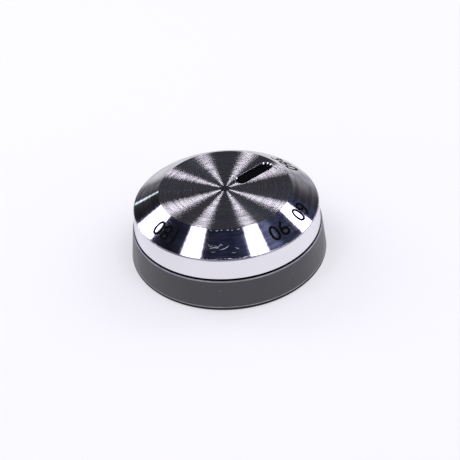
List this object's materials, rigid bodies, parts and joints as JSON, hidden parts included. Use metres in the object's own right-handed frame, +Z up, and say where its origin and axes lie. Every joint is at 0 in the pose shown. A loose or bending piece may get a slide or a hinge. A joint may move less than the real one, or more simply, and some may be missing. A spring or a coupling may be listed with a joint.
{
  "type": "cooktop knob",
  "caption": "Round cooktop knob: brushed metal cap with a flat disc, bevelled dial ring and black pointer slot, on a flared dark grey skirt with a D-shaped stem socket.",
  "frame": {"origin": "centre of the skirt's foot, on the plane that the knob rests on", "axes": "+Z up along the stem's axis, +Y along the pointer from the centre outwards, +X to the pointer's right"},
  "size_m": [0.05, 0.05, 0.0182],
  "materials": {
    "spun_metal": "spun and brushed in circles",
    "black_plastic": "smooth black",
    "grey_plastic": "moulded satin dark grey",
    "spring_steel": "rolled strip"
  },
  "bodies": {
    "root": {"metal_cap": "spun_metal", "pointer_insert": "black_plastic", "knob_body": "grey_plastic", "stem_spring": "spring_steel"}
  },
  "joints": []
}
